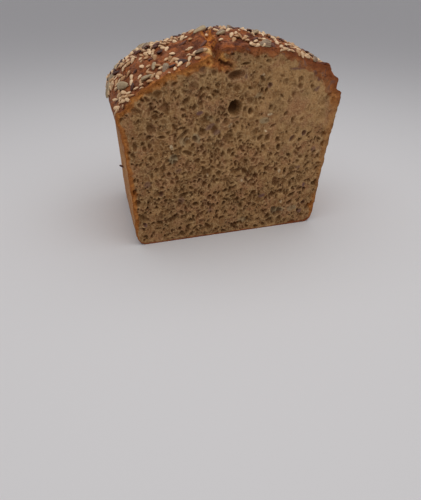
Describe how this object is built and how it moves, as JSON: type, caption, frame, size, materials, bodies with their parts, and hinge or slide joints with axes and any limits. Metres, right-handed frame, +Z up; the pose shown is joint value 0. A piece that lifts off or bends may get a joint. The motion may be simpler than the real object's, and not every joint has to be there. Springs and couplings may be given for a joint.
{
  "type": "seeded bread",
  "caption": "Half a seeded tin loaf, cut across and standing on its flat base, with open crumb on the cut face, plain tin-baked sides and a split, seed-covered crown.",
  "frame": {"origin": "on the ground, under the middle of the loaf's bounding box", "axes": "+Z up; +Y along the loaf from the cut face to its baked end; +X across the loaf, to the right of someone facing the cut. The cut runs 3.7 degrees off square, with its left edge forward."},
  "size_m": [0.1253, 0.0836, 0.1076],
  "materials": {
    "crust": "baked bread crust, matt to slightly satin, golden to dark brown",
    "crumb": "open, moist bread crumb, matt, tan brown with darker pores and cut seeds",
    "sesame": "toasted sesame seeds, matt, pale tan",
    "linseed": "brown linseeds, glossy, dark brown",
    "kernels": "toasted sunflower kernels, matt, grey tan"
  },
  "bodies": {
    "root": {"loaf": "crust"}
  },
  "joints": []
}
